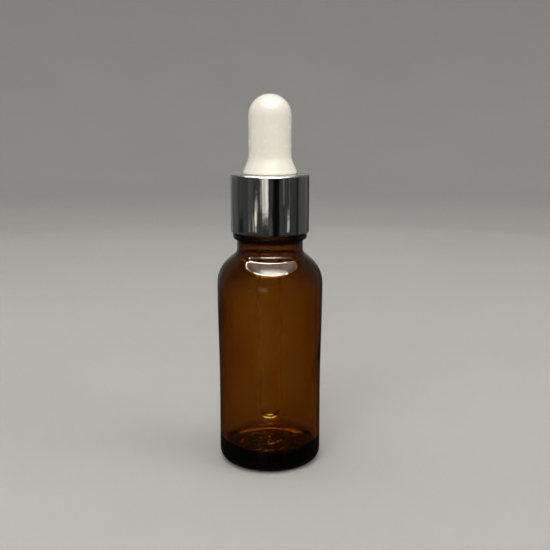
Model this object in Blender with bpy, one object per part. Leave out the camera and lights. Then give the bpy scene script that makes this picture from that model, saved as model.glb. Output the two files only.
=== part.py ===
"""A 20 ml dropper bottle: amber glass bottle, threaded cap, metal collar, rubber bulb and glass pipette.

Every solid is turned about the Z axis. Heights are measured from the surface that the bottle stands on.
The two screw threads follow one helix and mesh with an even gap.
"""

from math import cos, pi, radians, sin, sqrt, tan, tau

import bmesh
import bpy

MM = 0.001
SEGMENTS = 48
GAP = 0.3 * MM

# Bottle, outside
FOOT_RADIUS = 14.0 * MM
WAIST_RADIUS = 13.92 * MM
BODY_RADIUS = 14.3 * MM
WAIST_HEIGHT = 20 * MM
SHOULDER_HEIGHT = 49.9 * MM
SHOULDER_ARC = 9 * MM
SHOULDER_SLOPE = radians(50)
NECK_RADIUS = 8.8 * MM
NECK_FILLET = 1.85 * MM
HEEL_ARC = 3 * MM
STANDING_RING = 1.6 * MM
PUSH_UP = 1.3 * MM

# Bottle, inside
WALL = 1.6 * MM
BORE_RADIUS = 5.9 * MM
BORE_BOTTOM = 63.6 * MM
INNER_NECK_RADIUS = 7.1 * MM
INNER_NECK_TOP = 61 * MM
INNER_NECK_FILLET = 2.2 * MM
FLOOR_HEIGHT = 4 * MM
FLOOR_CROWN = 0.6 * MM
INNER_HEEL_ARC = 3.2 * MM

# Bottle finish
BEAD_BOTTOM = 62.2 * MM
BEAD_TOP = 63.7 * MM
BEAD_RADIUS = 9.9 * MM
BEAD_ROUND = 0.6 * MM
FINISH_RADIUS = 7.95 * MM
LIP_HEIGHT = 74.7 * MM
LIP_ROUND = 0.45 * MM

# Thread, right-handed, shared by the bottle and the cap
PITCH = 3 * MM
THREAD_DEPTH = 0.95 * MM
THREAD_HALF_BASE = 0.75 * MM
THREAD_HALF_CREST = 0.3 * MM
THREAD_FADE_TURNS = 0.12
THREAD_ROW = 0.3 * MM
BOTTLE_THREAD_START = 68.6 * MM
BOTTLE_THREAD_TURNS = 1.5
CAP_THREAD_LAG = 1.35 * MM
CAP_THREAD_TURNS = 2

# Metal collar
COLLAR_RADIUS = 10.45 * MM
COLLAR_SHEET = 0.3 * MM
COLLAR_ROUND = 0.5 * MM
COLLAR_TOP = 79.5 * MM

# Bulb
BULB_RADIUS = 5.65 * MM
BULB_WALL = 1.3 * MM
BULB_TOP = 100.1 * MM
FLARE_RADIUS = 7.1 * MM
FLARE_ROUND = 0.45 * MM
FLARE_HEIGHT = 3.4 * MM
FLARE_CURVE = 1.1
GROOVE_RADIUS = 5.2 * MM
FLANGE_RADIUS = 8.5 * MM
FLANGE_THICKNESS = 1.6 * MM
FLANGE_ROUND = 0.3 * MM

# Cap
CAP_PLATE = 1.9 * MM
CAP_WALL_CLEARANCE = 0.25 * MM

# Pipette
PIPETTE_RADIUS = 3.5 * MM
PIPETTE_BORE = 2.5 * MM
PIPETTE_TOP = 84.6 * MM
PIPETTE_RIM = 3.9 * MM
PIPETTE_RIM_HEIGHT = 1.1 * MM
TIP_HEIGHT = 11.2 * MM
TIP_LENGTH = 5 * MM
TIP_END_RADIUS = 1.7 * MM
TIP_ORIFICE = 0.75 * MM
TIP_ORIFICE_LENGTH = 1 * MM
TIP_BORE_LENGTH = 3.8 * MM

COLLAR_BOTTOM = BEAD_TOP + GAP
BULB_SEAT = LIP_HEIGHT + GAP
PLATE_BOTTOM = BULB_SEAT + FLANGE_THICKNESS + GAP
CAP_RADIUS = COLLAR_RADIUS - COLLAR_SHEET - CAP_WALL_CLEARANCE
CAP_ROOT = FINISH_RADIUS + THREAD_DEPTH + GAP
BULB_BORE = PIPETTE_RADIUS + GAP
FOOT_BOTTOM = COLLAR_TOP + GAP


def clear_scene():
    for item in list(bpy.data.objects):
        bpy.data.objects.remove(item, do_unlink=True)


def material(name, colour, roughness, metallic=0.0, transmission=0.0):
    made = bpy.data.materials.new(name)
    made.use_nodes = True
    shader = made.node_tree.nodes["Principled BSDF"]
    shader.inputs["Base Color"].default_value = (*colour, 1.0)
    shader.inputs["Roughness"].default_value = roughness
    shader.inputs["Metallic"].default_value = metallic
    shader.inputs["Transmission Weight"].default_value = transmission
    made.diffuse_color = (*colour, 1.0)
    return made


def arc(centre_radius, centre_height, size, first, last, steps):
    """Points of a round stretch, from one angle to the other; 0 points outwards and 90 points up."""
    angles = [radians(first + (last - first) * step / steps) for step in range(steps + 1)]
    return [(centre_radius + size * cos(a), centre_height + size * sin(a)) for a in angles]


def rows(radius, low, high, step):
    """Evenly spaced points of a straight wall, from low to high, without its ends."""
    count = round(abs(high - low) / step)
    return [(radius, low + (high - low) * i / count) for i in range(1, count)]


def eased(low, high, share):
    return low + (high - low) * (1 - cos(pi * share)) / 2


def body_radius(height):
    """The outside of the glass between heel and shoulder, very slightly waisted."""
    if height < WAIST_HEIGHT:
        return eased(FOOT_RADIUS, WAIST_RADIUS, (height - HEEL_ARC) / (WAIST_HEIGHT - HEEL_ARC))
    return eased(WAIST_RADIUS, BODY_RADIUS, (height - WAIST_HEIGHT) / (SHOULDER_HEIGHT - WAIST_HEIGHT))


def shoulder(arc_size, neck_radius, fillet):
    """From the top of the body to the bottom of the neck: a round, a straight slope and a fillet."""
    centre = BODY_RADIUS - SHOULDER_ARC
    points = arc(centre, SHOULDER_HEIGHT, arc_size, 0, 50, 6)
    last_radius, last_height = points[-1]
    corner_height = last_height + (last_radius - neck_radius) / tan(SHOULDER_SLOPE)
    tangent = fillet * tan(SHOULDER_SLOPE / 2)
    neck_bottom = corner_height + tangent
    return points + arc(neck_radius + fillet, neck_bottom, fillet, 180 + 50, 180, 4)


def thread_share(height, angle, start, turns):
    """How far a thread stands out at this place: 1 on its crest, 0 between its turns."""
    turn = angle / tau + round((height - start) / PITCH - angle / tau)
    if not 0 <= turn <= turns:
        return 0.0
    offset = abs(height - start - PITCH * turn)
    flank = (THREAD_HALF_BASE - offset) / (THREAD_HALF_BASE - THREAD_HALF_CREST)
    fade = min(turn, turns - turn) / THREAD_FADE_TURNS
    return max(0.0, min(1.0, flank)) * min(1.0, fade)


def bottle_thread(radius, height, angle):
    if radius != FINISH_RADIUS:
        return radius
    share = thread_share(height, angle, BOTTLE_THREAD_START, BOTTLE_THREAD_TURNS)
    return radius + THREAD_DEPTH * share


def cap_thread(radius, height, angle):
    if radius != CAP_ROOT:
        return radius
    share = thread_share(height, angle, BOTTLE_THREAD_START - CAP_THREAD_LAG, CAP_THREAD_TURNS)
    return radius - THREAD_DEPTH * share


def turned(name, outline, finish, closed_loop, thread=None):
    """Turns an outline of (radius, height) points about the Z axis into one solid with outward faces.

    An open outline starts and ends on the axis. A closed loop never touches it.
    """
    mesh = bpy.data.meshes.new(name)
    body = bmesh.new()
    rings = []
    for radius, height in outline:
        if radius == 0:
            rings.append([body.verts.new((0, 0, height))] * SEGMENTS)
            continue
        ring = []
        for index in range(SEGMENTS):
            angle = tau * index / SEGMENTS
            reach = thread(radius, height, angle) if thread else radius
            ring.append(body.verts.new((reach * cos(angle), reach * sin(angle), height)))
        rings.append(ring)
    pairs = list(zip(rings, rings[1:]))
    if closed_loop:
        pairs.append((rings[-1], rings[0]))
    for lower, upper in pairs:
        for index in range(SEGMENTS):
            after = (index + 1) % SEGMENTS
            corners = [lower[index], lower[after], upper[after], upper[index]]
            body.faces.new(list(dict.fromkeys(corners)))
    bmesh.ops.recalc_face_normals(body, faces=body.faces)
    for face in body.faces:
        face.smooth = True
    body.to_mesh(mesh)
    body.free()
    mesh.materials.append(finish)
    made = bpy.data.objects.new(name, mesh)
    bpy.context.scene.collection.objects.link(made)
    return made


def bottle_outline():
    ring_outer = FOOT_RADIUS - HEEL_ARC
    ring_inner = ring_outer - STANDING_RING
    heel = arc(ring_outer, HEEL_ARC, HEEL_ARC, -90, 0, 5)
    wall_heights = [12 * MM, WAIST_HEIGHT, 30 * MM, 40 * MM]
    wall = [(body_radius(height), height) for height in wall_heights]
    base = [(0, PUSH_UP), (ring_inner * 0.6, PUSH_UP * 0.75), (ring_inner, 0)]
    bead = arc(BEAD_RADIUS - BEAD_ROUND, BEAD_BOTTOM + BEAD_ROUND, BEAD_ROUND, -90, 0, 3)
    bead += arc(BEAD_RADIUS - BEAD_ROUND, BEAD_TOP - BEAD_ROUND, BEAD_ROUND, 0, 90, 3)
    threaded = rows(FINISH_RADIUS, BEAD_TOP + 3 * MM, LIP_HEIGHT - LIP_ROUND, THREAD_ROW)
    lip = arc(FINISH_RADIUS - LIP_ROUND, LIP_HEIGHT - LIP_ROUND, LIP_ROUND, 0, 90, 3)
    lip += arc(BORE_RADIUS + LIP_ROUND, LIP_HEIGHT - LIP_ROUND, LIP_ROUND, 90, 180, 3)
    inner_neck = []
    for step in range(5):
        height = BORE_BOTTOM + (INNER_NECK_TOP - BORE_BOTTOM) * step / 4
        inner_neck.append((eased(BORE_RADIUS, INNER_NECK_RADIUS, step / 4), height))
    inner_shoulder = shoulder(SHOULDER_ARC - WALL, INNER_NECK_RADIUS, INNER_NECK_FILLET)
    inner_foot = FOOT_RADIUS - WALL
    inner_heel = arc(inner_foot - INNER_HEEL_ARC, FLOOR_HEIGHT + INNER_HEEL_ARC, INNER_HEEL_ARC, 0, -90, 5)
    return (
        base
        + heel
        + wall
        + shoulder(SHOULDER_ARC, NECK_RADIUS, NECK_FILLET)
        + [(NECK_RADIUS, BEAD_BOTTOM)]
        + bead
        + [(FINISH_RADIUS, BEAD_TOP)]
        + threaded
        + lip
        + inner_neck
        + inner_shoulder[::-1]
        + [(WAIST_RADIUS - WALL, WAIST_HEIGHT)]
        + inner_heel
        + [(0, FLOOR_HEIGHT + FLOOR_CROWN)]
    )


def cap_outline():
    bottom = COLLAR_BOTTOM + GAP
    top = PLATE_BOTTOM + CAP_PLATE
    hole = GROOVE_RADIUS + GAP
    edge = 0.3 * MM
    threaded = rows(CAP_ROOT, bottom + edge, PLATE_BOTTOM - 2 * MM, THREAD_ROW)
    return (
        [(CAP_ROOT + edge, bottom), (CAP_RADIUS - edge, bottom), (CAP_RADIUS, bottom + edge)]
        + [(CAP_RADIUS, top - COLLAR_ROUND), (CAP_RADIUS - COLLAR_ROUND, top)]
        + [(hole, top), (hole, PLATE_BOTTOM), (CAP_ROOT, PLATE_BOTTOM)]
        + threaded[::-1]
        + [(CAP_ROOT, bottom + edge)]
    )


def collar_outline():
    inner = COLLAR_RADIUS - COLLAR_SHEET
    hole = GROOVE_RADIUS + GAP
    centre = COLLAR_RADIUS - COLLAR_ROUND
    lower_round = 0.25 * MM
    outer_top = arc(centre, COLLAR_TOP - COLLAR_ROUND, COLLAR_ROUND, 0, 90, 4)
    inner_top = arc(centre, COLLAR_TOP - COLLAR_ROUND, COLLAR_ROUND - COLLAR_SHEET, 90, 0, 4)
    return (
        [(inner, COLLAR_BOTTOM), (COLLAR_RADIUS - lower_round, COLLAR_BOTTOM)]
        + [(COLLAR_RADIUS, COLLAR_BOTTOM + lower_round)]
        + outer_top
        + [(hole, COLLAR_TOP), (hole, COLLAR_TOP - COLLAR_SHEET)]
        + inner_top
    )


def bulb_outline():
    dome_centre = BULB_TOP - BULB_RADIUS
    cavity = BULB_RADIUS - BULB_WALL
    flare_bottom = FOOT_BOTTOM + FLARE_ROUND
    flare_top = flare_bottom + FLARE_HEIGHT
    flare = []
    for step in range(6):
        share = step / 6
        spread = (FLARE_RADIUS - BULB_RADIUS) * (1 - share) ** FLARE_CURVE
        flare.append((BULB_RADIUS + spread, flare_bottom + FLARE_HEIGHT * share))
    flange_top = BULB_SEAT + FLANGE_THICKNESS
    cavity_bottom = PIPETTE_TOP - PIPETTE_RIM_HEIGHT - GAP
    dome = arc(0, dome_centre, BULB_RADIUS, 0, 80, 8)
    inner_dome = arc(0, dome_centre, cavity, 80, 0, 6)
    return (
        [(0, dome_centre + cavity)]
        + inner_dome
        + [(cavity, cavity_bottom), (BULB_BORE, cavity_bottom), (BULB_BORE, BULB_SEAT)]
        + [(FLANGE_RADIUS - FLANGE_ROUND, BULB_SEAT), (FLANGE_RADIUS, BULB_SEAT + FLANGE_ROUND)]
        + [(FLANGE_RADIUS, flange_top - FLANGE_ROUND), (FLANGE_RADIUS - FLANGE_ROUND, flange_top)]
        + [(GROOVE_RADIUS, flange_top), (GROOVE_RADIUS, FOOT_BOTTOM)]
        + arc(FLARE_RADIUS - FLARE_ROUND, flare_bottom, FLARE_ROUND, -90, -30, 2)
        + flare
        + [(BULB_RADIUS, flare_top)]
        + dome
        + [(0, BULB_TOP)]
    )


def pipette_outline():
    rim_centre = PIPETTE_TOP - PIPETTE_RIM_HEIGHT / 2
    rim = arc(PIPETTE_RIM - PIPETTE_RIM_HEIGHT / 2, rim_centre, PIPETTE_RIM_HEIGHT / 2, -60, 90, 5)
    tip_top = TIP_HEIGHT + TIP_LENGTH
    tip = []
    bore_tip = [(TIP_ORIFICE, TIP_HEIGHT)]
    for step in range(7):
        share = step / 7
        reach = sqrt(1 - (1 - share) ** 2)
        rise = TIP_ORIFICE_LENGTH + (TIP_BORE_LENGTH - TIP_ORIFICE_LENGTH) * share
        tip.append((TIP_END_RADIUS + (PIPETTE_RADIUS - TIP_END_RADIUS) * reach, TIP_HEIGHT + TIP_LENGTH * share))
        bore_tip.append((TIP_ORIFICE + (PIPETTE_BORE - TIP_ORIFICE) * reach, TIP_HEIGHT + rise))
    bore_top = TIP_HEIGHT + TIP_BORE_LENGTH
    return (
        tip
        + [(PIPETTE_RADIUS, tip_top), (PIPETTE_RADIUS, PIPETTE_TOP - 1.5 * PIPETTE_RIM_HEIGHT)]
        + rim
        + [(PIPETTE_BORE + 0.3 * MM, PIPETTE_TOP), (PIPETTE_BORE, PIPETTE_TOP - 0.4 * MM)]
        + [(PIPETTE_BORE, bore_top)]
        + bore_tip[::-1]
    )


def main():
    clear_scene()
    amber = material("amber_glass", (0.33, 0.12, 0.01), 0.05, transmission=0.9)
    clear = material("clear_glass", (0.93, 0.95, 0.94), 0.03, transmission=0.95)
    plastic = material("cap_plastic", (0.04, 0.04, 0.045), 0.45)
    metal = material("polished_metal", (0.62, 0.63, 0.66), 0.08, metallic=1.0)
    rubber = material("white_rubber", (0.86, 0.84, 0.78), 0.42)
    turned("glass_bottle", bottle_outline(), amber, False, bottle_thread)
    turned("inner_cap", cap_outline(), plastic, True, cap_thread)
    turned("collar_shell", collar_outline(), metal, True)
    turned("rubber_bulb", bulb_outline(), rubber, False)
    turned("glass_pipette", pipette_outline(), clear, True)


main()
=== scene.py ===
"""The looks of a small amber dropper bottle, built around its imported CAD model.

Five turned pieces replace the faceted CAD solids: the glass with its thread, seams and stippled base,
the plastic cap, the polished metal collar, the rubber bulb and the glass pipette.
"""

from math import cos, pi, radians, sin, tau

import bpy
import numpy as np
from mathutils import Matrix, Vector


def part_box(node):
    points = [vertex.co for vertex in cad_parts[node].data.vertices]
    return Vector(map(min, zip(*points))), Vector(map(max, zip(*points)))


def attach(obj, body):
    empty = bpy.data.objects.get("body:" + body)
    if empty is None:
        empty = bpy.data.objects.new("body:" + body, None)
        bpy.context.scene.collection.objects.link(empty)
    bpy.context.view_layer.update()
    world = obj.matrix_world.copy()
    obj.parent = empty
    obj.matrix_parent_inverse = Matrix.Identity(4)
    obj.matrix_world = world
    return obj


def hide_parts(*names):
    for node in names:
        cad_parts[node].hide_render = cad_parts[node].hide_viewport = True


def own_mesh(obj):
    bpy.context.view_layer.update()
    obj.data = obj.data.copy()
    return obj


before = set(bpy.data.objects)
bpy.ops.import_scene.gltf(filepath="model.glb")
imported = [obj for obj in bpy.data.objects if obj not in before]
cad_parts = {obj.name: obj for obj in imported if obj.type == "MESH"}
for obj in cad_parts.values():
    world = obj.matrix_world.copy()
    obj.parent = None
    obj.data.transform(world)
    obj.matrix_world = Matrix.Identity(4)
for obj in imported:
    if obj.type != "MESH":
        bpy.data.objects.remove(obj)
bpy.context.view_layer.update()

MM = 0.001

# Places and sizes that the frame gives
BOTTLE_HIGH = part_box("glass_bottle")[1]
CAP_LOW, CAP_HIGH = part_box("inner_cap")
COLLAR_LOW, COLLAR_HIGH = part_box("collar_shell")
BULB_LOW, BULB_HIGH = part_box("rubber_bulb")
PIPETTE_LOW, PIPETTE_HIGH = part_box("glass_pipette")

# Mesh density
SEGMENTS = 176
SEAM_ANGLES = [radians(step) for step in (-0.75, -0.45, -0.2, 0.0, 0.2, 0.45, 0.75)]

# Bottle
SEAM_HEIGHT = 0.04 * MM
SEAM_WIDTH = 0.13 * MM
BODY_RADIUS = BOTTLE_HIGH.x - SEAM_HEIGHT
FOOT_RADIUS = BODY_RADIUS - 0.3 * MM
WAIST_RADIUS = BODY_RADIUS - 0.38 * MM
WAIST_HEIGHT = 20 * MM
SHOULDER_HEIGHT = 49.9 * MM
SHOULDER_ARC = 9 * MM
SHOULDER_SLOPE = 50
SLOPE_BOW = 4
NECK_RADIUS = 8.8 * MM
NECK_FILLET = 1.85 * MM
HEEL_ARC = 3 * MM
STANDING_RING = 1.6 * MM
PUSH_UP = 1.3 * MM
WALL = 1.6 * MM
BORE_RADIUS = 5.9 * MM
BORE_BOTTOM = 63.6 * MM
INNER_NECK_RADIUS = 7.1 * MM
INNER_NECK_TOP = 61 * MM
INNER_NECK_FILLET = 2.2 * MM
INNER_SHOULDER_ARC = 8.6 * MM
INNER_SHOULDER_HEIGHT = 49.1 * MM
FLOOR_HEIGHT = 4 * MM
FLOOR_CROWN = 0.6 * MM
INNER_HEEL_ARC = 3.2 * MM
BEAD_BOTTOM = 62.2 * MM
BEAD_TOP = 63.7 * MM
BEAD_RADIUS = 9.9 * MM
BEAD_ROUND = 0.6 * MM
FINISH_RADIUS = 7.95 * MM
LIP_ROUND = 0.45 * MM
STIPPLE_COUNT = 88
STIPPLE_DEPTH = 0.12 * MM
BAFFLE_MARK = 6.4 * MM

# Thread
PITCH = 3 * MM
THREAD_DEPTH = 0.95 * MM
THREAD_HALF_BASE = 0.75 * MM
THREAD_HALF_CREST = 0.3 * MM
THREAD_FADE_TURNS = 0.12
THREAD_ROW = 0.12 * MM
BOTTLE_THREAD_START = 68.6 * MM
BOTTLE_THREAD_TURNS = 1.5
CAP_THREAD_LAG = 1.35 * MM
CAP_THREAD_TURNS = 2

# Collar, cap, bulb and pipette
COLLAR_SHEET = 0.3 * MM
COLLAR_ROUND = 0.5 * MM
HEM_ROUND = 0.25 * MM
HOLE_RADIUS = 5.5 * MM
CAP_ROOT = 9.2 * MM
CAP_PLATE = 1.9 * MM
RIB_COUNT = 44
RIB_DEPTH = 0.12 * MM
BULB_RADIUS = 5.65 * MM
BULB_WALL = 1.3 * MM
BULB_BORE = 3.56 * MM
FLARE_RADIUS = 7.1 * MM
FLARE_ROUND = 0.45 * MM
FLARE_HEIGHT = 3.6 * MM
FLARE_CURVE = 1.1
GROOVE_RADIUS = 5.2 * MM
# Strength of the painted glow on the bulb's inside, standing in for light that comes through the rubber
PAINTED_INNER_GLOW = 1.7
PINCH_START = 0.8 * MM
PINCH_FULL = 7 * MM
PINCH_BULGE = 0.42
CROWN_KEEPS = 0.75
FLANGE_THICKNESS = 1.6 * MM
FLANGE_ROUND = 0.3 * MM
SEAL_RINGS = (6.3 * MM, 7.3 * MM)
SEAL_RING_ROUND = 0.25 * MM
PIPETTE_RADIUS = 3.5 * MM
PIPETTE_BORE = 2.5 * MM
PIPETTE_RIM_HEIGHT = 1.1 * MM
TIP_LENGTH = 5 * MM
TIP_END_RADIUS = 1.7 * MM
TIP_ORIFICE = 0.75 * MM
TIP_ORIFICE_LENGTH = 1 * MM
TIP_BORE_LENGTH = 3.8 * MM

# Studio: the shell and the ceiling panel that reflections show
SHELL_RADIUS = 0.46
SHELL_HEIGHT = 0.05
PANEL_HEIGHT = 0.75
PANEL_CENTRE = (0.05, -0.05)
PANEL_RADIUS = 0.565
PANEL_BACK = -0.015
PANEL_HOLLOW = 1.6
PANEL_RIM = 0.02
FACE_GLOW = 0.9
FACE_CENTRE_GLOW = 1.2
FACE_NEAR_GLOW = 14.0
RIM_GLOW = 4.0
RIM_ENDS_GLOW = 42.0
RIM_REAR_GLOW = 24.0
RIM_FRONT_GLOW = 130.0
PANEL_COLOUR = (1.0, 0.965, 0.87)
BACKLIGHT_X = (-0.5, 0.5)
BACKLIGHT_Y = (0.2, 0.75)
BACKLIGHT_GLOW = (16.0, 22.0)
BACKLIGHT_COLOUR = (1.0, 0.96, 0.9)
ROOM_COLOUR = (0.043, 0.043, 0.039)
SHELL_OPENING = 43
WAVER = 0.14
LEVEL_SOFTNESS = 0.9

# Floor, world and lamps
FLOOR_RADIUS = 0.7
BACKDROP_RADIUS = 1.7
BACKDROP_HEIGHT = 1.3
WORLD_COLOUR = (1.0, 0.99, 0.97, 1.0)
WORLD_STRENGTH = 0.42
LAMP_TARGET = Vector((0, 0, 0.05))

# Lights of the surround: azimuths from the front in degrees, softness, elevations in degrees, colour
CREAM = (0.62, 0.585, 0.50)
SURROUND = [
    (-22, -5, 1.5, -5.2, 8, CREAM),
    (-12, -8, 1.0, -4.2, 8, (0.4, 0.38, 0.33)),
    (-6, -4.5, 0.5, -5.6, 8, (0.3, 0.29, 0.26)),
    (-28, -20, 2.0, -4.2, 8, (0.22, 0.21, 0.19)),
    (-27, -5, 2.0, -40, -12, (0.06, 0.06, 0.055)),
    (-45, -39.5, 0.8, -6.0, -4.3, (1.2, 1.05, 0.8)),
    (-51, -48.5, 0.8, -6.6, -5.3, (0.5, 0.46, 0.36)),
    (-42, -36, 1.0, -5.2, -3.2, (0.28, 0.26, 0.21)),
    (-66, -50, 4.0, -6.0, 10, (0.03, 0.03, 0.027)),
    (-64, -59, 2.0, -7.4, -5.6, (0.16, 0.155, 0.13)),
    (-4, 6, 3.0, -12, -5.0, (0.03, 0.03, 0.03)),
    (38, 42, 1.0, -3.6, 8, (0.12, 0.12, 0.11)),
    (50.5, 57, 1.5, -7.0, -4.9, (0.5, 0.49, 0.44)),
    (55.5, 58.5, 0.8, -4.6, 8, (0.06, 0.06, 0.055)),
    (92, 180, 3.0, -14, 60, (0.035, 0.035, 0.032)),
    (-180, -108, 4.0, -14, 60, (0.04, 0.04, 0.036)),
    (-180, -140, 9.0, -14, 60, (0.03, 0.03, 0.027)),
    (-180, -158, 8.0, 3, 26, (0.2, 0.2, 0.185)),
    (158, 180, 8.0, 3, 26, (0.2, 0.2, 0.185)),
    (-180, -110, 14.0, 0, 40, (0.05, 0.042, 0.03)),
    (110, 180, 14.0, 0, 40, (0.05, 0.042, 0.03)),
    (-152, -147, 1.5, -14, 3, (0.25, 0.24, 0.22)),
    (128, 131, 1.0, -14, 3, (0.10, 0.10, 0.09)),
]
SURROUND_GAPS = [
    (-190, 190, 1.0, -95, -11, 0.5),
    (8, 27, 3.0, -60, 30, 0.9),
    (83, 90, 2.0, -60, 3, 0.55),
    (-100, -84, 4.0, -9, -5.0, 0.7),
    (150, 158, 2.0, -60, 3, 0.8),
]

# Camera
CAMERA_LENS = 57.6
CAMERA_DISTANCE = 234.4 * MM
CAMERA_HEIGHT = 99 * MM
CAMERA_PITCH = 12.75
CAMERA_SHIFT = (0.0092, 0.04)


# --- Outlines -----------------------------------------------------------------------------------------


def arc(centre_radius, centre_height, size, first, last, steps, skin="plain"):
    """Points of a round stretch, from one angle to the other; 0 points outwards and 90 points up."""
    turns = [radians(first + (last - first) * step / steps) for step in range(steps + 1)]
    return [(centre_radius + size * cos(a), centre_height + size * sin(a), skin) for a in turns]


def line(first, last, steps, skin="plain"):
    """Evenly spaced points between two (radius, height) places, without the two ends."""
    shares = [step / steps for step in range(1, steps)]
    return [
        (first[0] + (last[0] - first[0]) * s, first[1] + (last[1] - first[1]) * s, skin) for s in shares
    ]


def eased(low, high, share):
    return low + (high - low) * (1 - cos(pi * share)) / 2


def body_radius(height):
    """The outside of the glass between heel and shoulder, very slightly waisted."""
    if height < WAIST_HEIGHT:
        return eased(FOOT_RADIUS, WAIST_RADIUS, (height - HEEL_ARC) / (WAIST_HEIGHT - HEEL_ARC))
    return eased(WAIST_RADIUS, BODY_RADIUS, (height - WAIST_HEIGHT) / (SHOULDER_HEIGHT - WAIST_HEIGHT))


def shoulder(body, height, arc_size, neck_radius, fillet, skin):
    """From the top of the body to the bottom of the neck: a round, a faintly bowed slope and a fillet."""
    flat, steep = SHOULDER_SLOPE - SLOPE_BOW, SHOULDER_SLOPE + SLOPE_BOW
    points = arc(body - arc_size, height, arc_size, 0, flat, 22, skin)
    narrowing = cos(radians(flat)) - cos(radians(steep))
    reach = (points[-1][0] - neck_radius - fillet * (1 - cos(radians(steep)))) / narrowing
    middle = (points[-1][0] - reach * cos(radians(flat)), points[-1][1] - reach * sin(radians(flat)))
    slope = arc(*middle, reach, flat, steep, 8, skin)
    neck_bottom = slope[-1][1] + fillet * sin(radians(steep))
    return points + slope[1:-1] + arc(neck_radius + fillet, neck_bottom, fillet, 180 + steep, 180, 14, skin)


def thread_share(height, angle, start, turns):
    """How far a thread stands out at this place: 1 on its crest, 0 between its turns."""
    turn = angle / tau + np.round((height - start) / PITCH - angle / tau)
    offset = np.abs(height - start - PITCH * turn)
    flank = (THREAD_HALF_BASE - offset) / (THREAD_HALF_BASE - THREAD_HALF_CREST)
    fade = np.minimum(turn, turns - turn) / THREAD_FADE_TURNS
    share = np.clip(flank, 0, 1) * np.clip(fade, 0, 1)
    return share * share * (3 - 2 * share)


def seam(radius, angle):
    """The fine ridge that each of the mould's two joints leaves down the glass."""
    off = np.abs(np.angle(np.exp(1j * angle * 2))) / 2 * radius
    return SEAM_HEIGHT * np.exp(-((off / SEAM_WIDTH) ** 2))


def ripple(x, y):
    """An uneven swell, as poured glass keeps it, with waves about 2 mm long."""
    total = np.zeros_like(x)
    for step in range(7):
        turn, wave = 2.4 * step + 0.5, (1.5 + 0.35 * step) * MM
        total = total + np.sin(tau / wave * (x * cos(turn) + y * sin(turn)) + 1.7 * step)
    return total / 2


def glass_relief(skin, radius, height, angle):
    if skin == "outside":
        radius = radius + seam(radius, angle)
    if skin == "thread":
        radius = radius + THREAD_DEPTH * thread_share(height, angle, BOTTLE_THREAD_START, BOTTLE_THREAD_TURNS)
    if skin == "stipple":
        height = height + STIPPLE_DEPTH * (0.5 + 0.5 * np.cos(STIPPLE_COUNT * angle))
    if skin == "inside":
        wave = np.sin(2 * angle + 0.7 + 90 * height) + 0.6 * np.sin(3 * angle - 1.1 + 210 * height)
        wave = wave + 0.5 * np.sin(5 * angle + 2.3 - 330 * height)
        radius = radius + 0.07 * MM * wave
    if skin == "floor":
        swell = np.sin(angle + 0.9) + 0.7 * np.sin(2 * angle - 0.4) + 0.4 * np.sin(3 * angle + 1.7)
        height = height + 0.1 * MM * swell * np.minimum(1, radius / (6 * MM))
    if skin in ("floor", "mark"):
        depth = (0.03 + 0.10 * np.exp(-((radius / (3.6 * MM)) ** 2))) * MM
        height = height + depth * ripple(radius * np.cos(angle), radius * np.sin(angle))
    return radius, height


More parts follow.
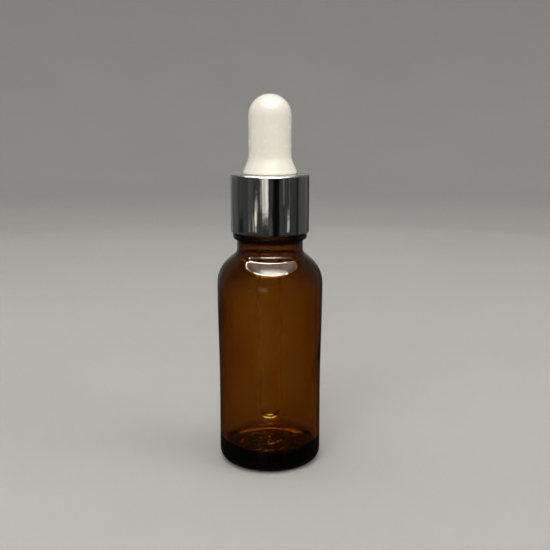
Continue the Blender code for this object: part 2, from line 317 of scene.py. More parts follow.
def bottle_outline():
    ring_outer = FOOT_RADIUS - HEEL_ARC
    ring_inner = ring_outer - STANDING_RING
    lip = BOTTLE_HIGH.z
    baffle = BAFFLE_MARK
    base = [(0, PUSH_UP, "plain"), (0.02 * MM, PUSH_UP, "plain")]
    base += line((0, PUSH_UP), (baffle, PUSH_UP * 0.86), 26, "mark")
    base += [(baffle, PUSH_UP * 0.86, "plain"), (baffle + 0.1 * MM, PUSH_UP * 0.86 - 0.12 * MM, "plain")]
    base += [(baffle + 0.3 * MM, PUSH_UP * 0.76, "plain")]
    base += line((baffle + 0.3 * MM, PUSH_UP * 0.76), (ring_inner - 0.3 * MM, 0.16 * MM), 8)
    base += [(ring_inner - 0.3 * MM, 0.16 * MM, "plain"), (ring_inner - 0.05 * MM, 0, "plain")]
    ring = line((ring_inner, 0), (ring_outer, 0), 10, "stipple")
    heel = arc(ring_outer, HEEL_ARC, HEEL_ARC, -90, 0, 18, "outside")
    wall_rows = 44
    span = SHOULDER_HEIGHT - HEEL_ARC
    heights = [HEEL_ARC + span * row / wall_rows for row in range(1, wall_rows)]
    wall = [(body_radius(height), height, "outside") for height in heights]
    neck = shoulder(BODY_RADIUS, SHOULDER_HEIGHT, SHOULDER_ARC, NECK_RADIUS, NECK_FILLET, "outside")
    neck += arc(NECK_RADIUS + 0.3 * MM, BEAD_BOTTOM - 0.3 * MM, 0.3 * MM, 180, 90, 5, "outside")
    bead = arc(BEAD_RADIUS - BEAD_ROUND, BEAD_BOTTOM + BEAD_ROUND, BEAD_ROUND, -90, 0, 8, "outside")
    bead += arc(BEAD_RADIUS - BEAD_ROUND, BEAD_TOP - BEAD_ROUND, BEAD_ROUND, 0, 90, 8, "outside")
    finish = arc(FINISH_RADIUS + 0.4 * MM, BEAD_TOP + 0.4 * MM, 0.4 * MM, 270, 180, 5)
    thread_rows = round((lip - LIP_ROUND - BEAD_TOP - 0.4 * MM) / THREAD_ROW)
    finish += line(
        (FINISH_RADIUS, BEAD_TOP + 0.4 * MM), (FINISH_RADIUS, lip - LIP_ROUND), thread_rows, "thread"
    )
    finish += arc(FINISH_RADIUS - LIP_ROUND, lip - LIP_ROUND, LIP_ROUND, 0, 90, 7)
    finish += arc(BORE_RADIUS + LIP_ROUND, lip - LIP_ROUND, LIP_ROUND, 90, 180, 7)
    inner_sizes = (INNER_SHOULDER_HEIGHT, INNER_SHOULDER_ARC, INNER_NECK_RADIUS, INNER_NECK_FILLET)
    inner_shoulder = shoulder(BODY_RADIUS - WALL, *inner_sizes, "inside")[::-1]
    bore = line((BORE_RADIUS, lip - LIP_ROUND), (BORE_RADIUS, BORE_BOTTOM), 10)
    for step in range(15):
        height = BORE_BOTTOM + (INNER_NECK_TOP - BORE_BOTTOM) * step / 14
        bore.append((eased(BORE_RADIUS, INNER_NECK_RADIUS, step / 14), height, "inside"))
    foot = FOOT_RADIUS - WALL
    inner_rows = 40
    drop = INNER_SHOULDER_HEIGHT - FLOOR_HEIGHT - INNER_HEEL_ARC
    heights = [INNER_SHOULDER_HEIGHT - drop * row / inner_rows for row in range(1, inner_rows)]
    inner_wall = [(body_radius(height) - WALL, height, "inside") for height in heights]
    edge = foot - INNER_HEEL_ARC
    inner_heel = arc(edge, FLOOR_HEIGHT + INNER_HEEL_ARC, INNER_HEEL_ARC, 0, -90, 16, "inside")
    floor = []
    for row in range(1, 34):
        share = row / 34
        floor.append((edge * (1 - share), FLOOR_HEIGHT + FLOOR_CROWN * (1 - (1 - share) ** 2), "floor"))
    top = [(0, FLOOR_HEIGHT + FLOOR_CROWN, "plain")]
    outside = base + ring + heel + wall + neck + bead + finish
    return outside + bore + inner_shoulder + inner_wall + inner_heel + floor + top


def cap_relief(skin, radius, height, angle):
    if skin == "thread":
        share = thread_share(height, angle, BOTTLE_THREAD_START - CAP_THREAD_LAG, CAP_THREAD_TURNS)
        radius = radius - THREAD_DEPTH * share
    if skin == "ribs":
        radius = radius - RIB_DEPTH * (0.5 - 0.5 * np.cos(RIB_COUNT * angle))
    return radius, height


def cap_outline():
    bottom, top = CAP_LOW.z, CAP_HIGH.z
    radius = CAP_HIGH.x
    plate_bottom = top - CAP_PLATE
    edge = 0.3 * MM
    rib_rows = 12
    thread_rows = round((plate_bottom - 2 * MM - bottom - edge) / THREAD_ROW)
    outside = arc(radius - edge, bottom + edge, edge, -90, 0, 5)
    outside += line((radius, bottom + edge), (radius, top - COLLAR_ROUND), rib_rows, "ribs")
    outside += arc(radius - COLLAR_ROUND, top - COLLAR_ROUND, COLLAR_ROUND, 0, 90, 6)
    hole = arc(HOLE_RADIUS + 0.15 * MM, top - 0.15 * MM, 0.15 * MM, 90, 180, 4)
    hole += arc(HOLE_RADIUS + 0.15 * MM, plate_bottom + 0.15 * MM, 0.15 * MM, 180, 270, 4)
    ceiling = arc(CAP_ROOT - 0.4 * MM, plate_bottom - 0.4 * MM, 0.4 * MM, 90, 0, 5)
    threaded = line((CAP_ROOT, plate_bottom - 2 * MM), (CAP_ROOT, bottom + edge), thread_rows, "thread")
    mouth = arc(CAP_ROOT + edge, bottom + edge, edge, 180, 270, 5)
    return outside + hole + ceiling + threaded + mouth


def collar_outline():
    bottom, top = COLLAR_LOW.z, COLLAR_HIGH.z
    radius = COLLAR_HIGH.x
    inner = radius - COLLAR_SHEET
    centre = radius - COLLAR_ROUND
    hem = arc(inner + 0.08 * MM, bottom + 0.08 * MM, 0.08 * MM, 180, 270, 3)
    hem += arc(radius - HEM_ROUND * 0.85, bottom + HEM_ROUND, HEM_ROUND * 0.85, -80, 0, 6)
    side = line((radius, bottom + HEM_ROUND), (radius, top - COLLAR_ROUND), 14)
    shoulder_round = arc(centre, top - COLLAR_ROUND, COLLAR_ROUND, 0, 90, 12)
    deck = line((centre, top), (HOLE_RADIUS + 0.1 * MM, top), 8)
    hole = arc(HOLE_RADIUS + 0.1 * MM, top - 0.1 * MM, 0.1 * MM, 90, 180, 4)
    hole += arc(HOLE_RADIUS + 0.1 * MM, top - COLLAR_SHEET + 0.1 * MM, 0.1 * MM, 180, 270, 4)
    inside = arc(centre, top - COLLAR_ROUND, COLLAR_ROUND - COLLAR_SHEET, 90, 0, 8)
    return hem + side + shoulder_round + deck + hole + inside


def bulb_relief(skin, radius, height, angle):
    if skin == "outside":
        radius = radius + 0.5 * seam(radius, angle)
    return radius, height


def bulb_outline():
    seat, top = BULB_LOW.z, BULB_HIGH.z
    flange = BULB_HIGH.x
    flange_top = seat + FLANGE_THICKNESS
    radius = BULB_RADIUS - SEAM_HEIGHT
    dome = top - BULB_RADIUS
    cavity = BULB_RADIUS - BULB_WALL
    foot = COLLAR_HIGH.z + 0.01 * MM
    flare_bottom = foot + FLARE_ROUND
    rest_height = PIPETTE_HIGH.z - PIPETTE_RIM_HEIGHT - 0.1 * MM
    inside = [(0, dome + cavity, "plain")] + arc(0, dome, cavity, 86, 0, 16)
    inside += line((cavity, dome), (cavity, rest_height), 12)
    inside += [(cavity, rest_height, "plain"), (BULB_BORE, rest_height - 0.3 * MM, "plain")]
    inside += line((BULB_BORE, rest_height - 0.3 * MM), (BULB_BORE, seat + 0.2 * MM), 8)
    seal = arc(BULB_BORE + 0.2 * MM, seat + 0.2 * MM, 0.2 * MM, 180, 270, 4)
    for ring in SEAL_RINGS:
        seal += arc(ring, seat + SEAL_RING_ROUND, SEAL_RING_ROUND, 200, 340, 6)
    seal += arc(flange - FLANGE_ROUND, seat + FLANGE_ROUND, FLANGE_ROUND, -90, 0, 5)
    seal += arc(flange - FLANGE_ROUND, flange_top - FLANGE_ROUND, FLANGE_ROUND, 0, 90, 5)
    groove = arc(GROOVE_RADIUS + 0.2 * MM, flange_top + 0.2 * MM, 0.2 * MM, 270, 180, 4)
    groove += [(GROOVE_RADIUS, foot, "plain")]
    lip = arc(FLARE_RADIUS - FLARE_ROUND, flare_bottom, FLARE_ROUND, -90, 20, 10)
    start_radius, start_height = lip[-1][:2]
    flare = []
    for step in range(1, 20):
        share = step / 20
        spread = (start_radius - radius) * (1 - share) ** FLARE_CURVE
        flare.append((radius + spread, start_height + FLARE_HEIGHT * share, "outside"))
    side = line((radius, start_height + FLARE_HEIGHT), (radius, dome), 16, "outside")
    crown = arc(0, top - radius, radius, 0, 87, 24, "outside")
    return inside + seal + groove + lip + flare + side + crown + [(0, top, "plain")]


def pipette_relief(skin, radius, height, angle):
    if skin == "bore":
        radius = radius + 0.03 * MM * np.sin(2 * angle + 0.5 + 40 * height)
    return radius, height


def pipette_outline():
    tip, top = PIPETTE_LOW.z, PIPETTE_HIGH.z
    rim_reach = PIPETTE_HIGH.x
    half = PIPETTE_RIM_HEIGHT / 2
    edge = 0.35 * MM
    end = arc(TIP_ORIFICE + edge, tip + edge, edge, 180, 270, 6)
    outer = []
    bore = line((TIP_ORIFICE, tip + edge), (TIP_ORIFICE, tip + TIP_ORIFICE_LENGTH), 4)
    for step in range(25):
        turn = pi / 2 * step / 24
        reach = TIP_END_RADIUS + (PIPETTE_RADIUS - TIP_END_RADIUS) * sin(turn)
        outer.append((reach, tip + TIP_LENGTH * (1 - cos(turn)), "plain"))
        reach = TIP_ORIFICE + (PIPETTE_BORE - TIP_ORIFICE) * sin(turn)
        rise = TIP_ORIFICE_LENGTH + (TIP_BORE_LENGTH - TIP_ORIFICE_LENGTH) * (1 - cos(turn))
        bore.append((reach, tip + rise, "plain"))
    tube_top = top - 1.5 * PIPETTE_RIM_HEIGHT
    outer += line((PIPETTE_RADIUS, tip + TIP_LENGTH), (PIPETTE_RADIUS, tube_top), 30)
    outer.append((PIPETTE_RADIUS, tube_top, "plain"))
    rim = arc(rim_reach - half, top - half, half, -60, 90, 12)
    rim += arc(PIPETTE_BORE + edge, top - edge, edge, 90, 180, 6)
    tube = line((PIPETTE_BORE, top - edge), (PIPETTE_BORE, tip + TIP_BORE_LENGTH), 40, "bore")
    return end + outer + rim + tube + bore[::-1]


# --- Meshes -------------------------------------------------------------------------------------------


def ring_angles():
    """Even steps round the circle, with closer ones at the two mould seams."""
    even = [tau * index / SEGMENTS for index in range(SEGMENTS)]
    fine = [centre + step for centre in (0, pi) for step in SEAM_ANGLES]
    return np.array(sorted({round(angle % tau, 9) for angle in even + fine}))


def turned(name, outline, finish, loop, relief=None):
    """Turns an outline about the Z axis into one closed mesh with outward faces."""
    angles = ring_angles()
    count = len(angles)
    vertices = []
    rings = []
    for radius, height, skin in outline:
        if radius == 0:
            rings.append([len(vertices)] * count)
            vertices.append((0.0, 0.0, height))
            continue
        reach = np.full(count, radius)
        rise = np.full(count, height)
        if relief:
            reach, rise = relief(skin, reach, rise, angles)
        rings.append(list(range(len(vertices), len(vertices) + count)))
        vertices += list(zip(reach * np.cos(angles), reach * np.sin(angles), rise))
    pairs = list(zip(rings, rings[1:]))
    if loop:
        pairs.append((rings[-1], rings[0]))
    faces = []
    for lower, upper in pairs:
        for index in range(count):
            after = (index + 1) % count
            corners = (lower[index], lower[after], upper[after], upper[index])
            faces.append(tuple(dict.fromkeys(corners)))
    mesh = bpy.data.meshes.new(name)
    mesh.from_pydata([tuple(map(float, v)) for v in vertices], [], faces)
    mesh.polygons.foreach_set("use_smooth", [True] * len(faces))
    mesh.materials.append(finish)
    mesh.update()
    made = bpy.data.objects.new(name, mesh)
    bpy.context.scene.collection.objects.link(made)
    return made


# --- Materials ----------------------------------------------------------------------------------------


class Nodes:
    """A material's node tree, with its Principled shader, built a few nodes at a time."""

    def __init__(self, name):
        self.material = bpy.data.materials.new(name)
        self.material.use_nodes = True
        self.tree = self.material.node_tree
        self.shader = self.tree.nodes["Principled BSDF"]
        self.output = self.tree.nodes["Material Output"]
        self.place = self.add("ShaderNodeTexCoord").outputs["Object"]

    def add(self, kind, **settings):
        node = self.tree.nodes.new(kind)
        for key, value in settings.items():
            setattr(node, key, value)
        return node

    def join(self, source, target):
        self.tree.links.new(source, target)

    def stretched(self, scale):
        mapping = self.add("ShaderNodeMapping")
        mapping.inputs["Scale"].default_value = scale
        self.join(self.place, mapping.inputs["Vector"])
        return mapping.outputs["Vector"]

    def noise(self, scale, detail=3.0, place=None):
        node = self.add("ShaderNodeTexNoise")
        node.inputs["Scale"].default_value = scale
        node.inputs["Detail"].default_value = detail
        self.join(place or self.place, node.inputs["Vector"])
        return node.outputs["Fac"]

    def between(self, share, low, high):
        """The share, from 0.3 to 0.7, carried over to the range from low to high."""
        node = self.add("ShaderNodeMapRange")
        node.inputs["From Min"].default_value = 0.3
        node.inputs["From Max"].default_value = 0.7
        node.inputs["To Min"].default_value = low
        node.inputs["To Max"].default_value = high
        self.join(share, node.inputs["Value"])
        return node.outputs["Result"]

    def tint(self, share, low, high):
        ramp = self.add("ShaderNodeMix", data_type="RGBA")
        ramp.inputs["A"].default_value = (*low, 1.0)
        ramp.inputs["B"].default_value = (*high, 1.0)
        self.join(share, ramp.inputs["Factor"])
        self.join(ramp.outputs["Result"], self.shader.inputs["Base Color"])

    def rough(self, share, low, high):
        self.join(self.between(share, low, high), self.shader.inputs["Roughness"])

    def bump(self, height, depth, strength=1.0, under=None):
        node = self.add("ShaderNodeBump")
        node.inputs["Strength"].default_value = strength
        node.inputs["Distance"].default_value = depth
        self.join(height, node.inputs["Height"])
        if under:
            self.join(under, node.inputs["Normal"])
        return node.outputs["Normal"]

    def normal(self, source):
        self.join(source, self.shader.inputs["Normal"])

    def maths(self, operation, first, second=None):
        node = self.add("ShaderNodeMath", operation=operation)
        for socket, value in zip(node.inputs, (first, second)):
            if isinstance(value, (int, float)):
                socket.default_value = value
            elif value is not None:
                self.join(value, socket)
        return node.outputs[0]

    def window(self, value, low, high, soft):
        """1 between low and high and 0 outside, with soft edges."""
        up = self.add("ShaderNodeMapRange", interpolation_type="SMOOTHSTEP")
        down = self.add("ShaderNodeMapRange", interpolation_type="SMOOTHSTEP")
        for node, edge in ((up, low), (down, high)):
            self.join(value, node.inputs["Value"])
            node.inputs["From Min"].default_value = edge - soft
            node.inputs["From Max"].default_value = edge + soft
        return self.maths("MULTIPLY", up.outputs[0], self.maths("SUBTRACT", 1.0, down.outputs[0]))

    def scaled(self, vector, share):
        """A colour or a vector socket, times the share."""
        node = self.add("ShaderNodeVectorMath", operation="SCALE")
        if isinstance(vector, tuple):
            node.inputs[0].default_value = vector
        else:
            self.join(vector, node.inputs[0])
        self.join(share, node.inputs["Scale"])
        return node.outputs[0]

    def summed(self, first, second):
        node = self.add("ShaderNodeVectorMath", operation="ADD")
        self.join(first, node.inputs[0])
        self.join(second, node.inputs[1])
        return node.outputs[0]

    def set(self, **values):
        for key, value in values.items():
            self.shader.inputs[key.replace("_", " ")].default_value = value

    def absorb(self, colour, density):
        volume = self.add("ShaderNodeVolumeAbsorption")
        volume.inputs["Color"].default_value = (*colour, 1.0)
        volume.inputs["Density"].default_value = density
        self.join(volume.outputs["Volume"], self.output.inputs["Volume"])


def amber_glass():
    n = Nodes("amber_glass")
    n.set(Transmission_Weight=1.0, IOR=1.52)
    n.tint(n.noise(60, 2), (1.0, 0.995, 0.98), (1.0, 0.985, 0.95))
    n.rough(n.noise(420, 4), 0.0, 0.008)
    swell = n.bump(n.noise(110, 1), 0.05 * MM, 0.6)
    n.normal(n.bump(n.noise(900, 2), 0.004 * MM, 0.3, swell))
    n.absorb((0.762, 0.592, 0.06), 2100)
    return n.material


def clear_glass():
    n = Nodes("clear_glass")
    n.set(Transmission_Weight=1.0, IOR=1.5)
    n.tint(n.noise(80, 2), (1.0, 1.0, 0.995), (0.985, 0.985, 0.98))
    n.rough(n.noise(500, 3), 0.0, 0.02)
    n.normal(n.bump(n.noise(300, 2, n.stretched((1, 1, 0.08))), 0.02 * MM, 0.5))
    n.absorb((0.93, 0.95, 0.94), 40)
    return n.material


def polished_metal():
    n = Nodes("polished_metal")
    n.set(Metallic=1.0)
    n.tint(n.noise(90, 3), (0.72, 0.725, 0.735), (0.66, 0.665, 0.68))
    smudge = n.between(n.noise(260, 5), 0.02, 0.06)
    height = n.add("ShaderNodeSeparateXYZ")
    n.join(n.place, height.inputs[0])
    edge = n.window(height.outputs["Z"], COLLAR_HIGH.z - 0.5 * MM, COLLAR_HIGH.z + 1 * MM, 0.35 * MM)
    n.join(n.maths("ADD", smudge, n.maths("MULTIPLY", edge, 0.22)), n.shader.inputs["Roughness"])
    drawn = n.bump(n.noise(2600, 2, n.stretched((1, 1, 0.03))), 0.0015 * MM, 0.35)
    n.normal(n.bump(n.noise(250, 2), 0.02 * MM, 1.0, drawn))
    return n.material


def cap_plastic():
    n = Nodes("cap_plastic")
    n.set(IOR=1.49)
    n.tint(n.noise(300, 4), (0.016, 0.016, 0.018), (0.03, 0.03, 0.033))
    n.rough(n.noise(700, 4), 0.32, 0.48)
    n.normal(n.bump(n.noise(5200, 3), 0.01 * MM, 0.25))
    return n.material


def white_rubber():
    n = Nodes("white_rubber")
    n.set(IOR=1.42, Subsurface_Weight=0.7, Subsurface_Scale=0.0004)
    n.set(Subsurface_Radius=(1.0, 0.75, 0.55))
    n.tint(n.noise(160, 4), (0.825, 0.805, 0.735), (0.80, 0.775, 0.70))
    n.set(Sheen_Weight=0.25, Sheen_Roughness=0.35)
    # Painted glow: the marked inside of the bulb emits light, standing in for light that comes through the
    # rubber
    n.set(Emission_Color=(1.0, 0.97, 0.9, 1.0))
    hollow = n.add("ShaderNodeAttribute", attribute_name="hollow").outputs["Fac"]
    n.join(n.maths("MULTIPLY", hollow, PAINTED_INNER_GLOW), n.shader.inputs["Emission Strength"])
    n.rough(n.noise(800, 4), 0.2, 0.3)
    grain = n.bump(n.noise(6500, 3), 0.004 * MM, 0.25)
    n.normal(n.bump(n.noise(160, 1), 0.02 * MM, 0.2, grain))
    return n.material


# --- Pieces -------------------------------------------------------------------------------------------


def mark_painted_glow(bulb):
    """Marks the inside of the bulb for a painted glow, which stands in for the light that thin white rubber
    lets through.
    """
    reach = BULB_RADIUS - 0.5 * BULB_WALL
    dome = BULB_HIGH.z - BULB_RADIUS
    marks = []
    for vertex in bulb.data.vertices:
        place = vertex.co
        depth = Vector((place.x, place.y, max(0, place.z - dome))).length
        marks.append(float(place.z > PIPETTE_HIGH.z and depth < reach))
    mark = bulb.data.attributes.new("hollow", "FLOAT", "POINT")
    mark.data.foreach_set("value", marks)


def pinch(bulb):
    """Lets the bulb give in its middle and bulge sideways; its foot stays round and its dome gives less."""
    mesh = bulb.data
    heights = np.array([vertex.co.z for vertex in mesh.vertices])
    rest = np.array([vertex.co for vertex in mesh.vertices], dtype=np.float32)
    start, full = PIPETTE_HIGH.z + PINCH_START, PIPETTE_HIGH.z + PINCH_FULL
    share = np.clip((heights - start) / (full - start), 0, 1)
    crown = np.clip((heights - full) / (BULB_HIGH.z - full), 0, 1)
    give = share * share * (3 - 2 * share) * (1 - CROWN_KEEPS * crown * crown * (3 - 2 * crown))
    stored = mesh.attributes.new("rest_place", "FLOAT_VECTOR", "POINT")
    stored.data.foreach_set("vector", rest.ravel())
    weight = mesh.attributes.new("give", "FLOAT", "POINT")
    weight.data.foreach_set("value", give.astype(np.float32))

    tree = bpy.data.node_groups.new("bulb_pinch", "GeometryNodeTree")
    tree.interface.new_socket("Geometry", in_out="INPUT", socket_type="NodeSocketGeometry")
    tree.interface.new_socket("Geometry", in_out="OUTPUT", socket_type="NodeSocketGeometry")
    nodes = tree.nodes
    links = tree.links
    source = nodes.new("NodeGroupInput")
    target = nodes.new("NodeGroupOutput")
    rest_node = nodes.new("GeometryNodeInputNamedAttribute")
    rest_node.data_type = "FLOAT_VECTOR"
    rest_node.inputs["Name"].default_value = "rest_place"
    give_node = nodes.new("GeometryNodeInputNamedAttribute")
    give_node.inputs["Name"].default_value = "give"
    now = nodes.new("GeometryNodeInputPosition")

    def widest(place):
        parts = nodes.new("ShaderNodeSeparateXYZ")
        links.new(place, parts.inputs[0])
        most = nodes.new("GeometryNodeAttributeStatistic")
        links.new(source.outputs[0], most.inputs["Geometry"])
        links.new(parts.outputs["X"], most.inputs["Attribute"])
        return most.outputs["Max"]

    def maths(operation, first, second):
        node = nodes.new("ShaderNodeMath")
        node.operation = operation
        for socket, value in zip(node.inputs, (first, second)):
            if isinstance(value, (int, float)):
                socket.default_value = value
            else:
                links.new(value, socket)
        return node.outputs[0]

    kept = maths("DIVIDE", widest(now.outputs[0]), widest(rest_node.outputs["Attribute"]))
    bulge = maths("ADD", maths("MULTIPLY", maths("SUBTRACT", 1.0, kept), PINCH_BULGE), 1.0)
    stretch = nodes.new("ShaderNodeCombineXYZ")
    stretch.inputs["X"].default_value = 1.0
    stretch.inputs["Z"].default_value = 1.0
    links.new(bulge, stretch.inputs["Y"])
    wide = nodes.new("ShaderNodeVectorMath")
    wide.operation = "MULTIPLY"
    links.new(now.outputs[0], wide.inputs[0])
    links.new(stretch.outputs[0], wide.inputs[1])
    mix = nodes.new("ShaderNodeMix")
    mix.data_type = "VECTOR"
    links.new(give_node.outputs["Attribute"], mix.inputs["Factor"])
    links.new(rest_node.outputs["Attribute"], mix.inputs["A"])
    links.new(wide.outputs[0], mix.inputs["B"])
    place = nodes.new("GeometryNodeSetPosition")
    links.new(source.outputs[0], place.inputs["Geometry"])
    links.new(mix.outputs["Result"], place.inputs["Position"])
    links.new(place.outputs["Geometry"], target.inputs[0])
    modifier = bulb.modifiers.new("pinch", "NODES")
    modifier.node_group = tree


def build_pieces():
    glass = turned("bottle_glass", bottle_outline(), amber_glass(), False, glass_relief)
    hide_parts("glass_bottle")
    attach(glass, "bottle")

    cap = turned("cap_liner", cap_outline(), cap_plastic(), True, cap_relief)
    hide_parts("inner_cap")
    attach(cap, "cap")

    collar = turned("collar_metal", collar_outline(), polished_metal(), True)
    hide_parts("collar_shell")
    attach(collar, "cap")

    bulb = turned("bulb_rubber", bulb_outline(), white_rubber(), False, bulb_relief)
    mark_painted_glow(bulb)
    pinch(bulb)
    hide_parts("rubber_bulb")
    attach(bulb, "cap")
    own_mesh(bulb)

    pipette = turned("pipette_glass", pipette_outline(), clear_glass(), True, pipette_relief)
    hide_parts("glass_pipette")
    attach(pipette, "dropper")


# --- Studio -------------------------------------------------------------------------------------------


def paper():
    """Matt studio paper, very faintly mottled."""
    n = Nodes("studio_paper")
    n.tint(n.noise(9, 4), (0.42, 0.415, 0.405), (0.385, 0.38, 0.37))
    n.rough(n.noise(40, 2), 0.85, 0.95)
    return n.material


def glowing(name, colour):
    """A material that only glows, in the colour that the given function builds from its nodes."""
    n = Nodes(name)
    n.tree.nodes.remove(n.shader)
    glow = n.add("ShaderNodeEmission")
    n.join(colour(n), glow.inputs["Color"])
    n.join(glow.outputs[0], n.output.inputs["Surface"])
    return n.material


def staged(name, vertices, faces, finish):
    mesh = bpy.data.meshes.new(name)
    mesh.from_pydata(vertices, [], faces)
    mesh.polygons.foreach_set("use_smooth", [True] * len(faces))
    mesh.materials.append(finish)
    made = bpy.data.objects.new(name, mesh)
    bpy.context.scene.collection.objects.link(made)
    return made


def bowl(outline, around):
    """The vertices and faces of an open turned surface, from its middle outwards."""
    vertices = [(0, 0, outline[0][1])]
    for radius, height in outline[1:]:
        turns = [tau * i / around for i in range(around)]
        vertices += [(radius * cos(a), radius * sin(a), height) for a in turns]
    faces = [(0, 1 + i, 1 + (i + 1) % around) for i in range(around)]
    for row in range(len(outline) - 2):
        first = 1 + row * around
        for i in range(around):
            after = (i + 1) % around
            faces.append((first + i, first + around + i, first + around + after, first + after))
    return vertices, faces


def sweep():
    """A pale floor that curves up into a wall all round, far enough away for any view."""
    steps = 32
    outline = [(0.0, 0.0), (FLOOR_RADIUS, 0.0)]
    for step in range(1, steps + 1):
        turn = pi / 2 * step / steps
        reach = FLOOR_RADIUS + (BACKDROP_RADIUS - FLOOR_RADIUS) * sin(turn)
        outline.append((reach, BACKDROP_HEIGHT * (1 - cos(turn))))
    made = staged("studio_floor", *bowl(outline, 96), paper())
    made.visible_glossy = False


def surround_glow(n):
    """What polished surfaces show of the room: a dim room with a few upright lights and dark gaps."""
    parts = n.add("ShaderNodeSeparateXYZ")
    n.join(n.place, parts.inputs[0])
    turn = n.maths("ARCTAN2", parts.outputs["X"], n.maths("MULTIPLY", parts.outputs["Y"], -1.0))
    height = n.maths("SUBTRACT", parts.outputs["Z"], SHELL_HEIGHT)
    rise = n.maths("ARCSINE", n.maths("DIVIDE", height, SHELL_RADIUS))
    waver = n.maths("SUBTRACT", n.noise(45, 2, n.stretched((0.5, 0.5, 1))), 0.5)
    turn = n.maths("ADD", turn, n.maths("MULTIPLY", waver, WAVER))
    streaks = n.between(n.noise(5, 2, n.stretched((1, 1, 0.1))), 0.75, 1.25)
    total = n.scaled(ROOM_COLOUR, streaks)
    for first, last, soft, low, high, colour in SURROUND:
        upright = n.window(turn, radians(first), radians(last), radians(soft))
        level = n.window(rise, radians(low), radians(high), radians(LEVEL_SOFTNESS))
        total = n.summed(total, n.scaled(colour, n.maths("MULTIPLY", upright, level)))
    for first, last, soft, low, high, share in SURROUND_GAPS:
        upright = n.window(turn, radians(first), radians(last), radians(soft))
        level = n.window(rise, radians(low), radians(high), radians(LEVEL_SOFTNESS))
        gap = n.maths("MULTIPLY", n.maths("MULTIPLY", upright, level), share)
        total = n.scaled(total, n.maths("SUBTRACT", 1.0, gap))
    return total


def surround():
    """A shell round the object, open at the top, that only reflections show."""
    outline = [(0.0, SHELL_HEIGHT - SHELL_RADIUS)]
    steps = 36
    for step in range(1, steps + 1):
        turn = radians(-90 + (90 + SHELL_OPENING) * step / steps)
        outline.append((SHELL_RADIUS * cos(turn), SHELL_HEIGHT + SHELL_RADIUS * sin(turn)))
    made = staged("studio_surround", *bowl(outline, 128), glowing("surround_glow", surround_glow))
    made.visible_camera = False
    made.visible_diffuse = False
    made.visible_transmission = False
    made.visible_shadow = False


def panel_back(x):
    """The rear edge of the ceiling panel, hollow in its middle."""
    return PANEL_BACK + PANEL_HOLLOW * x * x


def panel_glow(n):
    """A ceiling panel: an evenly lit face inside a much brighter rim."""
    parts = n.add("ShaderNodeSeparateXYZ")
    n.join(n.place, parts.inputs[0])
    x, y = parts.outputs["X"], parts.outputs["Y"]
    aside = n.maths("SUBTRACT", x, PANEL_CENTRE[0])
    ahead = n.maths("SUBTRACT", y, PANEL_CENTRE[1])
    square = n.maths("ADD", n.maths("MULTIPLY", aside, aside), n.maths("MULTIPLY", ahead, ahead))
    reach = n.maths("SQRT", square)
    back = n.maths("ADD", n.maths("MULTIPLY", n.maths("MULTIPLY", x, x), PANEL_HOLLOW), PANEL_BACK)
    depth = n.maths("MINIMUM", n.maths("SUBTRACT", PANEL_RADIUS, reach), n.maths("SUBTRACT", back, y))
    face = n.window(depth, PANEL_RIM, 2, 0.25 * PANEL_RIM)
    near = n.window(y, -1, -0.30, 0.16)
    middle = n.window(x, -0.24, 0.42, 0.14)
    central = n.maths("MULTIPLY", n.window(x, -0.36, 0.45, 0.05), FACE_CENTRE_GLOW)
    base_light = n.maths("ADD", FACE_GLOW, central)
    near_light = n.maths("MULTIPLY", n.maths("MULTIPLY", near, middle), FACE_NEAR_GLOW)
    face_light = n.maths("ADD", base_light, near_light)
    ends = n.maths("MULTIPLY", n.window(y, 0.0, 1, 0.05), n.window(x, -1, 0, 0.1))
    rear = n.maths("MULTIPLY", n.window(y, -0.2, 1, 0.05), n.window(x, -0.30, 0.30, 0.05))
    front = n.maths("MULTIPLY", n.window(y, -1, -0.3, 0.05), n.window(x, -0.42, 0.5, 0.03))
    lit = n.maths("ADD", n.maths("MULTIPLY", ends, RIM_ENDS_GLOW), n.maths("MULTIPLY", rear, RIM_REAR_GLOW))
    lit = n.maths("ADD", n.maths("ADD", lit, n.maths("MULTIPLY", front, RIM_FRONT_GLOW)), RIM_GLOW)
    rim = n.maths("MULTIPLY", n.maths("SUBTRACT", 1.0, face), lit)
    scattered = n.maths("LESS_THAN", n.add("ShaderNodeLightPath").outputs["Diffuse Depth"], 0.5)
    total = n.maths("ADD", n.maths("MULTIPLY", face, face_light), n.maths("MULTIPLY", rim, scattered))
    return n.scaled(PANEL_COLOUR, total)


def panel():
    """The ceiling panel as reflections and glass show it; the lamps do the lighting."""
    turns = [tau * step / 180 for step in range(45, 225)]
    middle_x, middle_y = PANEL_CENTRE
    front = [(middle_x + PANEL_RADIUS * cos(a), middle_y + PANEL_RADIUS * sin(a)) for a in turns]
    front = [place for place in front if place[1] < panel_back(place[0])]
    last, first = front[-1][0], front[0][0]
    back = [last + (first - last) * step / 30 for step in range(1, 30)]
    outline = front + [(x, panel_back(x)) for x in back]
    vertices = [(x, y, PANEL_HEIGHT) for x, y in outline]
    finish = glowing("panel_glow", panel_glow)
    made = staged("studio_panel", vertices, [tuple(range(len(vertices)))], finish)
    made.visible_camera = False
    made.visible_diffuse = False
    made.visible_shadow = False


def backlight_glow(n):
    return n.scaled(BACKLIGHT_COLOUR, n.between(n.noise(3, 1), *BACKLIGHT_GLOW))


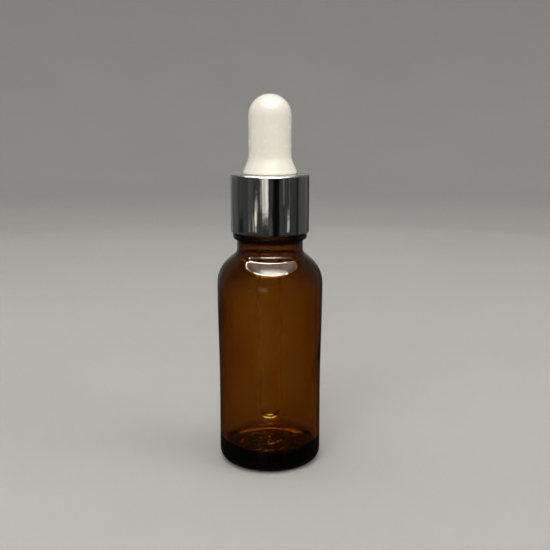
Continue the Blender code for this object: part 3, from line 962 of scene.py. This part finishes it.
def backlight():
    """A high light behind the bottle that only shows through glass, as sparks in its thick parts."""
    (left, right), (near, far) = BACKLIGHT_X, BACKLIGHT_Y
    corners = ((left, near), (right, near), (right, far), (left, far))
    vertices = [(x, y, PANEL_HEIGHT) for x, y in corners]
    made = staged("studio_backlight", vertices, [(0, 1, 2, 3)], glowing("backlight_glow", backlight_glow))
    made.visible_camera = False
    made.visible_diffuse = False
    made.visible_glossy = False
    made.visible_shadow = False


def lamp(name, place, size, power, colour):
    """A soft rectangular lamp that points at the bottle and leaves no reflection of its own."""
    light = bpy.data.lights.new(name, "AREA")
    light.shape = "RECTANGLE"
    light.size, light.size_y = size
    light.energy = power
    light.color = colour
    made = bpy.data.objects.new(name, light)
    made.location = place
    aim = LAMP_TARGET - Vector(place)
    made.rotation_euler = aim.to_track_quat("-Z", "Y").to_euler()
    made.visible_glossy = False
    made.visible_transmission = False
    bpy.context.scene.collection.objects.link(made)


def studio():
    sweep()
    surround()
    panel()
    backlight()
    world = bpy.data.worlds.new("studio_world")
    world.use_nodes = True
    background = world.node_tree.nodes["Background"]
    background.inputs["Color"].default_value = WORLD_COLOUR
    background.inputs["Strength"].default_value = WORLD_STRENGTH
    world.cycles_visibility.glossy = False
    bpy.context.scene.world = world
    lamp("lamp_ceiling", (-0.05, -0.05, 0.8), (0.8, 0.7), 3.0, (1.0, 0.99, 0.96))
    lamp("lamp_front", (-0.3, -1.0, 0.7), (0.9, 0.9), 8.6, (1.0, 0.96, 0.89))
    lamp("lamp_right", (0.95, -0.3, 0.6), (0.8, 0.8), 4.0, (1.0, 0.96, 0.90))


def camera():
    lens = bpy.data.cameras.new("camera")
    lens.lens = CAMERA_LENS
    lens.sensor_width = 36
    lens.shift_x, lens.shift_y = CAMERA_SHIFT
    lens.clip_start = 0.005
    made = bpy.data.objects.new("camera", lens)
    made.location = (0, -CAMERA_DISTANCE, CAMERA_HEIGHT)
    made.rotation_euler = (radians(90 - CAMERA_PITCH), 0, 0)
    bpy.context.scene.collection.objects.link(made)
    bpy.context.scene.camera = made


build_pieces()
studio()
camera()
bpy.context.scene.view_settings.view_transform = "Standard"
# Light from the painted glow inside the bulb runs up and down the pipette's wall in many short bounces, and
# lights the arc at its tip.
cycles = bpy.context.scene.cycles
cycles.max_bounces = 48
cycles.transmission_bounces = 40
cycles.glossy_bounces = 40
cycles.sample_clamp_indirect = 120
